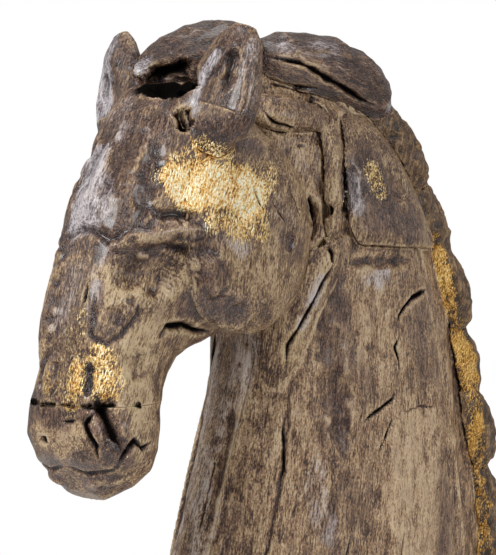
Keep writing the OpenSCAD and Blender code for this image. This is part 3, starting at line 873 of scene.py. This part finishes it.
@dataclass
class Head:
    """Skull, muzzle, cheeks and ears, dressed flush with each other, and the forelock."""

    voxels: tuple[tuple[str, float], ...] = (
        ("skull", 0.88),
        ("muzzle", 0.8),
        ("cheek_left", 0.75),
        ("cheek_right", 0.75),
        ("ear_left", 0.6),
        ("ear_right", 0.6),
    )
    wear: Wear = Wear(21.0, 0.6, 4.5, 0.22, 11)
    strokes: tuple[Stroke, ...] = (
        # forehead: a flat middle, a valley before the temple and the far corner of the brow
        gouge(((21, -84, 304), (23, -93, 288), (24, -99, 272), (23, -105, 260)), 16, 3.0),
        gouge(((8, -88, 318), (9, -104, 285), (8, -110, 268)), 22, 1.6),
        ridge(((-4, -94, 306), (-2, -107, 280), (-3, -112, 262)), 16, 1.4, mirror=False),
        ridge(
            ((-19, -108, 262), (-19, -110, 246), (-17, -117, 222), (-15, -122, 196)), 26, 2.8,
            mirror=False,
        ),
        crack(((-6, -114, 262), (4, -113, 260), (14, -110, 255), (22, -105, 259)), 7.0, 1.6, soot=0.1),
        # brow, eye hollow and the bulge behind it
        ridge(
            ((14, -113, 254), (20, -109, 253), (28, -98, 257), (32, -87, 260), (38, -74, 259)), 13, 3.4,
            mirror=False,
        ),
        gouge(((26, -98, 266), (31, -89, 267), (37, -76, 266)), 8, 1.8, soot=0.12),
        gouge(((16, -114, 240), (24, -103, 242), (29, -92, 241), (32, -82, 236)), 30, 6.0),
        # painted shadow under the brow ridge: a crack left black
        crack(((22, -106, 250), (31, -90, 252), (36, -77, 251)), 8.0, 2.6, soot=0.25),
        crack(((19, -111, 249), (21, -109, 243)), 3.4, 2.6, soot=1.0),
        ridge(((38, -76, 250), (39, -69, 240), (37, -66, 228)), 16, 3.0),
        # nose
        crack(
            ((13, -119, 234), (14, -121, 222), (14, -123, 213), (20, -119, 210), (24, -113, 214),
            (26, -105, 222), (26, -104, 231)), 5.0, 1.5, soot=0.1,
        ),
        crack(((8, -119, 237), (8, -121, 227)), 3.0, 2.6, soot=1.0, mirror=False),
        gouge(((22, -115, 228), (23, -113, 217)), 14, 1.0),
        gouge(((26, -106, 208), (28, -104, 192)), 16, 1.8),
        gouge(((14, -123, 203), (15, -126, 196), (16, -127, 187)), 8, 2.4, soot=0.35),
        ridge(((8, -126, 205), (9, -128, 195), (8, -130, 185)), 12, 1.8),
        # muzzle
        crack(
            ((20, -125, 190), (21, -126, 183), (25, -124, 177), (28, -122, 170), (29, -117, 162)),
            11.0, 5.0, soot=0.75, mirror=False,
        ),
        crack(
            ((21, -126, 182), (16, -129, 176), (18, -128, 171), (20, -126, 166), (20, -124, 160)),
            5.0, 3.0, soot=0.9, mirror=False,
        ),
        crack(((3, -130, 176), (12, -129, 177)), 3.0, 1.8, soot=0.8, mirror=False),
        gouge(((-10, -130, 169), (-10, -129, 165)), 7.0, 3.4, soot=1.0, mirror=False),
        crack(
            ((24, -118, 156), (30, -115, 165), (31, -111, 168), (30, -106, 164), (30, -99, 167)),
            4.6, 2.8, soot=0.8, mirror=False,
        ),
        crack(((0, -125, 156), (12, -122, 153), (22, -117, 157), (27, -114, 161)), 3.4, 2.0, soot=0.5),
        ridge(((6, -118, 147), (15, -117, 150), (23, -108, 153)), 8.0, 1.6),
        # jaw line under the cheek
        crack(
            ((25, -92, 211), (25, -86, 217), (24, -74, 217), (22, -61, 213), (20, -50, 213)), 6.0, 4.0,
            soot=0.8,
        ),
        # cheek
        gouge(((36, -70, 268), (40, -60, 267), (42, -48, 268)), 12, 1.4),
        gouge(((33, -70, 228), (36, -56, 222), (37, -42, 218)), 20, 2.4),
        gouge(((42, -24, 258), (41, -14, 254)), 14, 1.8),
        crack(((42, -46, 281), (43, -44, 276), (44, -41, 270)), 2.2, 1.0, soot=0.8, mirror=False),
        crack(((43, -36, 276), (43, -30, 270), (43, -23, 264)), 2.0, 0.9, soot=0.8, mirror=False),
        crack(((41, -18, 281), (41, -13, 275), (41, -9, 267)), 2.0, 0.9, soot=0.8),
        # foot of the ear, and the hole under the forelock, blackened as its painted shadow
        crack(((23, -76, 316), (26, -77, 311), (28, -77, 304)), 9.0, 6.0, soot=1.0, mirror=False),
        gouge(((0, -66, 333), (12, -70, 329), (22, -76, 323)), 24.0, 8.0, soot=1.0, mirror=False),
        # groove in the near ear
        gouge(((37, -60, 322), (38, -57, 334), (39, -56, 345)), 7.0, 2.4, soot=0.5),
    )
    # The silvery patches here are painted highlights. The black ones mark a joint and the painted shadow
    # under the forelock.
    patches: tuple[Patch, ...] = (
        # forehead
        painted_highlight_patch(((-9, -100, 294), (-5, -106, 280), (-3, -112, 266)), 12, 0.95, mirror=False),
        painted_highlight_patch(((3, -106, 284), (6, -109, 270)), 9, 0.6, mirror=False),
        painted_highlight_patch(((-2, -96, 306), (-8, -84, 318)), 12, 0.35, mirror=False),
        stained(((20, -84, 306), (22, -94, 287), (24, -101, 270)), 11, 0.9),
        stained(((2, -88, 318), (10, -96, 302), (14, -104, 280)), 14, 0.6),
        stained(((12, -113, 257), (20, -109, 255), (30, -94, 261), (38, -76, 260)), 9, 0.9),
        stained(((-17, -110, 258), (-18, -113, 240)), 9, 0.5, mirror=False),
        # painted shadow under the brow ridge
        stained(((12, -114, 253), (22, -107, 251), (31, -93, 252)), 9, 0.75),
        stained(((4, -119, 240), (5, -124, 210)), 10, 0.3),
        # eye hollow and the bulge behind it
        stained(((38, -76, 248), (38, -69, 238), (35, -66, 228)), 9, 0.95),
        paled(((20, -110, 236), (27, -98, 238), (30, -84, 234)), 13, 0.9),
        # nose
        painted_highlight_patch(((-2, -118, 240), (-4, -122, 218)), 9, 0.35, mirror=False),
        stained(((13, -119, 234), (14, -122, 220), (18, -120, 211), (25, -105, 224)), 5, 0.75),
        paled(((27, -98, 216), (27, -105, 200), (29, -106, 186)), 15, 1.3),
        stained(((14, -124, 200), (16, -127, 189)), 4.5, 0.9),
        gilded(((10, -127, 202), (9, -128, 192), (7, -130, 186)), 8, 0.6, mirror=False),
        gilded(((18, -122, 206), (22, -120, 191)), 9, 0.58, mirror=False),
        gilded(((-3, -127, 200), (-4, -129, 190)), 6, 0.4, mirror=False),
        gilded(((7, -124, 212), (6, -122, 222)), 8, 0.35, mirror=False),
        # muzzle
        stained(((20, -127, 181), (26, -123, 173), (27, -118, 163)), 9, 1.1),
        stained(((10, -124, 158), (20, -121, 156), (14, -118, 148)), 9, 0.7),
        stained(((-6, -130, 178), (6, -130, 177)), 6, 0.7),
        black_and_shade_patch(((2, -130, 183.5), (13, -130, 183.5), (22, -125, 183.5), (28, -107, 183)), 2.2, 0.75),
        paled(((8, -128, 169), (2, -128, 166)), 8, 0.6),
        paled(((30, -106, 176), (30, -100, 182)), 8, 0.6),
        # cheek and temple
        gilded(((32, -82, 279), (36, -73, 278), (40, -62, 277), (42, -52, 278)), 19, 0.96),
        stained(((16, -112, 264), (26, -98, 262), (33, -84, 263)), 9, 0.7),
        gilded(((42, -50, 282), (42, -36, 284)), 12, 0.5),
        gilded(((29, -82, 290), (31, -72, 296), (37, -57, 296)), 9, 0.55),
        gilded(((38, -70, 266), (42, -56, 264), (43, -44, 264)), 11, 0.6),
        stained(((24, -76, 304), (33, -58, 303), (38, -40, 301)), 9, 0.7),
        painted_highlight_patch(((41, -64, 260), (42, -54, 255)), 9, 0.45),
        paled(((42, -54, 248), (43, -36, 246), (42, -28, 240)), 14, 0.35),
        painted_highlight_patch(((43, -34, 274), (42, -22, 268)), 10, 0.3),
        stained(((42, -24, 257), (41, -13, 252)), 7, 0.7),
        stained(((28, -76, 226), (34, -64, 224), (37, -50, 221)), 9, 0.85),
        # under the forelock: stain and black laid as the painted shadow of the hole
        stained(((-6, -72, 334), (10, -74, 331), (22, -78, 326)), 12, 1.3, mirror=False),
        black_and_shade_patch(((2, -66, 327), (10, -66, 325), (18, -64, 325)), 13, 1.3, mirror=False),
        # ears
        stained(((34, -66, 334), (37, -62, 342), (40, -56, 350)), 5, 0.9),
        stained(((36, -60, 314), (37, -59, 328)), 4, 0.9),
        painted_highlight_patch(((30, -73, 319), (31, -67, 330), (34, -63, 341)), 3.2, 0.8),
        painted_highlight_patch(((46, -54, 320), (44, -54, 334), (47, -51, 346)), 5, 0.5),
        paled(((32, -65, 316), (33, -62, 328)), 5, 0.7),
        stained(((40, -68, 304), (46, -60, 309)), 8, 1.0),
        stained(((-26, -65, 346), (-18, -66, 344)), 8, 1.0, mirror=False),
        painted_highlight_patch(((-36, -62, 350), (-40, -62, 336), (-41, -62, 322)), 9, 1.3, mirror=False),
    )

    def build(self) -> None:
        """Carve the head."""
        blend = Blend(tuple(node for node, _ in self.voxels), 1.2, 30)
        joint = max(corner[2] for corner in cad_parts["muzzle"].bound_box) / MM
        for node, voxel in self.voxels:
            piece = Carving(node, voxel, in_head=True)
            piece.level = 1 - ramp(np.abs(piece.points[:, 2] - joint), 0.4, 1.4)
            piece.smooth(10)
            piece.settle(blend, near=12, reach=5)
            piece.smooth(3)
            self.wear.put_on(piece)
            piece.carve(self.strokes)
            piece.coat(self.patches)
            self.dress(piece)
        self.forelock()

    def dress(self, piece: Carving) -> None:
        """Give a piece its finish: the grain bows round the cheeks and follows the slope of the face."""
        points = to_head(piece.points)
        if piece.node.startswith("cheek"):
            lie = grain_along(points, (0.0, 0.2, 0.98), bend=-0.006, centre=(0, -30, 255))
            piece.finish(CHEEK_WOOD, "cheek_wood", lie)
        elif piece.node.startswith("ear"):
            piece.finish(EAR_WOOD, "ear_wood", grain_along(points, (0.1, 0.3, 0.95)))
        else:
            piece.finish(HEAD_WOOD, "head_wood", grain_along(points, (0.06, -0.4, -0.91)))

    def forelock(self) -> None:
        """Carve the lock that bridges from the crest to the forehead."""
        lock = Carving("forelock", 0.7, in_head=True)
        lock.smooth(8)
        lock.chisel_flats(12.0, 1.2, 51)
        lock.roughen(3.5, 0.5, 52, (1.0, 3.0, 1.0))
        # The hollow under the lock is cut and blackened as its painted shadow.
        hollow = gouge(((-10, -64, 332), (-2, -58, 334), (10, -50, 338)), 16, 7.0, 1.0, mirror=False)
        lock.carve((hollow,))
        lock.coat(
            (
                # Silvery painted highlight on the end of the lock.
                painted_highlight_patch(((-13, -66, 338), (-9, -63, 342)), 5, 0.7, mirror=False),
                # Stain along the hollow under the lock: painted shade.
                stained(((-14, -68, 328), (0, -57, 331), (10, -50, 336)), 10, 1.3, mirror=False),
            )
        )
        lock.finish(HAIR_WOOD, "hair_wood", grain_along(to_head(lock.points), (-0.35, -0.9, -0.1)))


# ---- the neck ------------------------------------------------------------


@dataclass
class Neck:
    """The three boards of the neck, and the hair, strips and gilded curls laid on them."""

    seam: float = 17.0  # half the thickness of the middle board, in mm
    boards: tuple[tuple[str, float], ...] = (
        ("neck_left_board", 1.02),
        ("neck_right_board", 1.02),
        ("neck_centre_board", 1.28),
    )
    laid_on: tuple[tuple[str, float], ...] = (
        ("poll_lobe_", 0.65),
        ("side_strand_", 0.65),
        ("nape_slab_", 0.7),
        ("throat_strip_", 0.65),
    )
    wear: Wear = Wear(20.0, 1.0, 5.0, 0.4, 71, (1.0, 1.0, 2.5))
    strokes: tuple[Stroke, ...] = (
        # splits
        crack(((16, 51, 233), (23, 34, 228), (28, 22, 220), (29, 17, 212)), 4.0, 2.6, soot=1.0),
        crack(((29, 21, 209), (30, 17, 203), (30, 20, 196), (30, 21, 190)), 3.0, 2.0, soot=1.0),
        crack(((31, 17, 184), (31, 15, 177), (33, 5, 173), (35, -11, 166)), 3.2, 1.8, soot=0.9),
        crack(((32, 15, 170), (34, 8, 159), (35, 0, 149)), 2.6, 1.4, soot=0.9),
        crack(((31, 21, 169), (26, 37, 172), (22, 52, 170)), 2.2, 1.0, soot=0.7),
        crack(
            ((30, -54, 176), (29, -55, 164), (31, -55, 158), (32, -56, 146), (32, -60, 136)), 2.6, 2.0,
            soot=0.85,
        ),
        crack(((32, -61, 128), (33, -66, 110), (33, -74, 92)), 2.2, 1.6, soot=0.6),
        step(((30, -50, 200), (31, -52, 168), (32, -58, 135), (33, -72, 95)), 12, 1.4),
        crack(((36, -18, 118), (36, -24, 96), (36, -28, 74)), 2.6, 1.2, soot=0.7),
        crack(((34, 22, 120), (34, 16, 96), (34, 14, 78)), 2.4, 1.0, soot=0.7),
        crack(((10, -84, 172), (11, -90, 140), (11, -97, 104)), 2.6, 1.2, soot=0.6),
        # gouges
        gouge(((34, -32, 222), (35, -28, 190), (36, -22, 150)), 22, 1.8),
        gouge(((31, 2, 240), (33, 4, 215), (35, 0, 190)), 20, 1.2),
        gouge(((14, -76, 190), (15, -84, 150), (14, -95, 104)), 14, 1.4),
        # gap behind the cheek, cut and blackened as its painted shade
        gouge(((28, -38, 280), (30, -37, 270), (30, -38, 256)), 8, 5.0, soot=1.0),
        crack(((33, -31, 254), (36, -29, 250), (37, -29, 245)), 5, 2.5, soot=0.8),
        # lower edge of the throat strip
        crack(
            ((36, -26, 250), (35, -34, 237), (34, -40, 226), (33, -47, 215), (31, -53, 206),
            (31, -54, 188)), 4, 2.2, soot=0.75,
        ),
        # Painted shade under the slab's lower edge, in a shallow gouge.
        gouge(((34, -20, 245), (30, -4, 247), (27, 12, 247), (20, 34, 248)), 10, 1.8, soot=0.15),
        # the slab's own hollows
        gouge(((33, -19, 268), (32, -12, 296)), 12, 2.2),
        gouge(((24, 18, 300), (26, 20, 276)), 18, 2.0),
        # seams of the hair
        crack(
            ((16, -58, 347), (24, -40, 345), (24, -18, 336), (20, 4, 328), (17, 16, 326)), 4.5, 3.0,
            soot=0.9,
        ),
        crack(((17, -58, 335), (20, -43, 333), (22, -26, 332)), 4.0, 2.4, soot=0.7),
        crack(((25, -66, 322), (30, -60, 312), (33, -48, 305), (33, -37, 304)), 4.0, 2.4, soot=0.8),
    )
    # The silvery patches here are painted highlights.
    patches: tuple[Patch, ...] = (
        stained(((33, -30, 214), (35, -20, 190), (36, -22, 168)), 20, 0.42),
        stained(((33, -24, 236), (33, -22, 224)), 9, 0.7),
        paled(((35, -31, 247), (34, -38, 232), (33, -45, 216), (31, -51, 202)), 6, 0.9),
        painted_highlight_patch(((34, -36, 238), (32, -46, 216)), 4, 0.5),
        stained(((36, -22, 130), (36, -28, 100), (36, -34, 60)), 18, 0.4),
        stained(((26, -78, 150), (24, -88, 110), (22, -94, 70)), 10, 0.5),
        stained(((22, 44, 225), (24, 44, 196)), 18, 0.4),
        stained(((28, 60, 130), (30, 56, 80)), 12, 0.5),
        paled(((27, 34, 152), (31, 28, 118), (32, 26, 80)), 26, 1.0),
        paled(((32, 0, 236), (34, 0, 205)), 16, 0.5),
        painted_highlight_patch(((29, 12, 240), (33, -4, 236)), 8, 0.6),
        painted_highlight_patch(((13, -68, 204), (9, -78, 178), (9, -88, 150), (9, -94, 110), (8, -98, 70)), 13, 0.4),
        painted_highlight_patch(((36, -40, 142), (37, -34, 112)), 10, 0.4),
        stained(((28, -4, 290), (28, 8, 270), (26, 20, 262)), 18, 0.8),
        gilded(((29, 0, 292), (29, 6, 281)), 8, 0.55),
        painted_highlight_patch(((33, -14, 290), (34, -12, 276)), 7, 0.6),
        paled(((30, 0, 264), (28, 14, 260)), 9, 0.5),
        paled(((32, -26, 284), (32, -28, 264)), 5, 0.7),
        paled(((27, -60, 316), (32, -48, 308)), 6, 0.5),
    )
    mane_wear: Wear = Wear(6.5, 1.6, 2.6, 0.9, 81, (1.0, 1.2, 2.2))
    mane_patches: tuple[Patch, ...] = (
        gilded(
            ((8, 58, 256), (11, 69, 224), (9, 89, 184), (12, 89, 152), (9, 97, 104), (9, 90, 60)), 8, 0.5,
        ),
        gilded(((8, 58, 256), (11, 62, 250), (11, 69, 224)), 8, 0.85),
        gilded(((10, 79, 204), (9, 89, 184)), 8, 0.85),
        gilded(((14, 90, 160), (11, 87, 148)), 8, 0.85),
        gilded(((10, 98, 113), (8, 96, 96)), 6, 0.6),
        gilded(((10, 92, 74), (9, 88, 56)), 6, 0.6),
        gilded(((6, 40, 290), (9, 48, 276)), 6, 0.5),
    )

    def build(self) -> None:
        """Carve the neck and all that is laid on it."""
        laid = [(n, voxel) for kind, voxel in self.laid_on for n in (f"{kind}left", f"{kind}right")]
        curls = sorted(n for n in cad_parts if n.startswith("mane_curl_"))
        blend = Blend((*(n for n, _ in (*self.boards, *laid)), "crest_lock", *curls), 1.2, 8)
        for node, voxel in self.boards:
            self.board(node, voxel, blend)
        for node, voxel in laid:
            piece = Carving(node, voxel)
            piece.smooth(6)
            piece.smooth(2, WORN)
            if node.startswith("nape_slab"):
                piece.smooth(8, WORN)
            elif node.startswith("poll_lobe"):
                piece.settle(blend, near=7, reach=3)
            self.wear.put_on(piece)
            self.mark(piece)
            lie = grain_along(piece.points, (0.05, 0.2, 0.97))
            hair = node.startswith("poll_lobe")
            piece.finish(LOBE_WOOD if hair else STRIP_WOOD, "hair_wood" if hair else "strip_wood", lie)
        crest = Carving("crest_lock", 0.75)
        crest.smooth(10)
        crest.settle(blend, near=8, reach=3)
        crest.chisel_flats(15.0, 1.4, 53)
        crest.roughen(4.0, 0.5, 54, (1.0, 3.0, 1.0))
        self.mark(crest)
        crest.coat(
            (
                paled(((20, -44, 347), (20, -30, 345)), 12, 0.9),
                # Silvery painted highlights along the crest.
                painted_highlight_patch(((18, -46, 352), (18, -20, 352)), 8, 0.5),
                painted_highlight_patch(((16, 14, 336), (14, 24, 328)), 6, 0.8),
            )
        )
        crest.finish(HAIR_WOOD, "hair_wood", grain_along(crest.points, (0.0, 0.97, -0.2)))
        for node in curls:
            curl = Carving(node, 0.7)
            curl.smooth(6)
            curl.settle(blend, near=6, reach=3)
            self.mane_wear.put_on(curl)
            curl.coat(self.mane_patches)
            curl.finish(MANE_GILT, "mane_gilt", grain_along(curl.points, (0.0, 0.3, 0.95)))

    def board(self, node: str, voxel: float, blend: Blend) -> None:
        """Carve one board of the neck, and leave its glued faces and its foot flat."""
        board = Carving(node, voxel)
        glued = 1 - ramp(np.abs(np.abs(board.points[:, 0]) - self.seam), 0.3, 2.0)
        board.held = np.maximum(glued, 1 - ramp(board.points[:, 2], 20.5, 23.0))
        board.smooth(14)
        board.settle(blend, near=7, reach=3)
        board.roughen(13.0, 1.6, 77, (1.0, 1.0, 7.0))
        self.wear.put_on(board)
        self.mark(board)
        board.finish(NECK_WOOD, "neck_wood", grain_along(board.points, (0.03, 0.14, 0.99)))

    def mark(self, piece: Carving) -> None:
        """Cut the neck's strokes and lay its patches on a piece."""
        piece.carve(self.strokes)
        piece.coat(self.patches)


# ---- base and fixings ----------------------------------------------------


@dataclass
class Base:
    """Base board, felt and the hidden fixings."""

    edge_round: float = 2.5  # radius of the worn upper edge, in mm
    holes_across: float = 12.0  # the screw holes lie within this of the middle, in mm
    holes_along: float = 90.0

    def build(self) -> None:
        """Round the board's edges and dress the plain pieces."""
        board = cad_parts["base_board"]
        work = bmesh.new()
        work.from_mesh(board.data)
        bmesh.ops.remove_doubles(work, verts=work.verts, dist=0.01 * MM)
        bmesh.ops.dissolve_limit(work, angle_limit=math.radians(1), verts=work.verts, edges=work.edges)
        top = max(v.co.z for v in work.verts)
        rim = [e for e in work.edges if all(abs(v.co.z - top) < 0.1 * MM for v in e.verts)]
        rim = [e for e in rim if e.calc_length() > self.edge_round * MM and self.outside(e)]
        bmesh.ops.bevel(
            work, geom=rim, offset=self.edge_round * MM, segments=4, profile=0.5, affect="EDGES", material=-1
        )
        mesh = bpy.data.meshes.new("base_board_waxed")
        work.to_mesh(mesh)
        work.free()
        piece = add_object("base_board_waxed", mesh)
        piece.data.materials.clear()
        piece.data.materials.append(BOARD_BEECH.material)
        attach(piece, "root")
        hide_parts("base_board")
        for node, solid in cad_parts.items():
            if node.endswith("dowels") or node.endswith("pins"):
                self.dress(solid, TURNED_BEECH)
        self.dress(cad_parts["base_screws"], ZINC)
        self.dress(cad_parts["felt_pad"], FELT)

    def outside(self, edge: bmesh.types.BMEdge) -> bool:
        """True for an edge of the board's outline, not one of a hole in it."""
        across = min(abs(v.co.x) for v in edge.verts)
        along = max(abs(v.co.y) for v in edge.verts)
        return across > self.holes_across * MM or along > self.holes_along * MM

    def dress(self, solid: bpy.types.Object, finish: Finish) -> None:
        """Give a solid that stays as it is its material."""
        if not solid.material_slots:
            solid.data.materials.append(finish.material)
        for held in solid.material_slots:
            held.material = finish.material


# ---- studio --------------------------------------------------------------


@dataclass
class Studio:
    """Pale floor, soft lights and the camera."""

    azimuth: float = 55.0
    distance: float = 0.771
    target: Triple = (0.0, -0.055, 0.23875)

    def build(self) -> None:
        """Set up the studio."""
        self.camera()
        self.floor()
        self.light("key_light", (0.1, -0.95, 0.75), 0.35, 7.5)
        self.light("back_light", (0.9, 0.35, 0.55), 0.35, 3.5)
        self.light("top_light", (0.1, 0.0, 1.3), 0.5, 4.0)

    def camera(self) -> None:
        """Put the camera level with the cheek, to the horse's front left."""
        lens = bpy.data.cameras.new("camera")
        lens.lens = 100
        lens.sensor_width = 36
        lens.clip_start = 0.01
        camera = add_object("camera", lens)
        turn = math.radians(self.azimuth)
        offset = Vector((math.sin(turn), -math.cos(turn), 0)) * self.distance
        camera.location = Vector(self.target) + offset
        camera.rotation_euler = (math.pi / 2, 0, turn)
        bpy.context.scene.camera = camera

    def floor(self) -> None:
        """Lay a round white board, and put a white surround round it that looks brighter than it lights."""
        work = bmesh.new()
        bmesh.ops.create_circle(work, cap_ends=True, segments=96, radius=0.53)
        mesh = bpy.data.meshes.new("floor")
        work.to_mesh(mesh)
        work.free()
        floor = add_object("floor", mesh)
        paint = bpy.data.materials.new("white_floor_paint")
        paint.use_nodes = True
        shader = paint.node_tree.nodes["Principled BSDF"]
        shader.inputs["Base Color"].default_value = linear("#f7f7f7")
        shader.inputs["Roughness"].default_value = 0.9
        mesh.materials.append(paint)
        world = bpy.data.worlds.new("white_surround")
        world.use_nodes = True
        sky = world.node_tree.nodes["Background"]
        sky.inputs["Color"].default_value = (1, 1, 1, 1)
        seen = add_node(world.node_tree, "LightPath").outputs["Is Camera Ray"]
        strength = add_node(world.node_tree, "Math", {"operation": "MULTIPLY_ADD"}, i0=seen, i1=0.7, i2=0.3)
        world.node_tree.links.new(strength.outputs[0], sky.inputs["Strength"])
        bpy.context.scene.world = world
        bpy.context.scene.view_settings.view_transform = "Standard"

    def light(self, name: str, place: Triple, size: float, power: float) -> None:
        """Hang one square soft light that points at the bust.

        Args:
            name: Name of the light.
            place: Where it hangs, in metres.
            size: Length of its side in metres.
            power: Its power in watts.
        """
        lamp = bpy.data.lights.new(name, "AREA")
        lamp.shape = "SQUARE"
        lamp.size = size
        lamp.energy = power
        holder = add_object(name, lamp)
        holder.location = place
        aim = Vector(self.target) - Vector(place)
        holder.rotation_euler = aim.to_track_quat("-Z", "Y").to_euler()


def main() -> None:
    """Build the studio and the bust."""
    logging.basicConfig(level=logging.INFO, format="%(name)s: %(message)s")
    for part in (Studio(), Head(), Neck(), Base()):
        LOG.info("building %s", type(part).__name__)
        part.build()


if __name__ == "__main__":
    main()
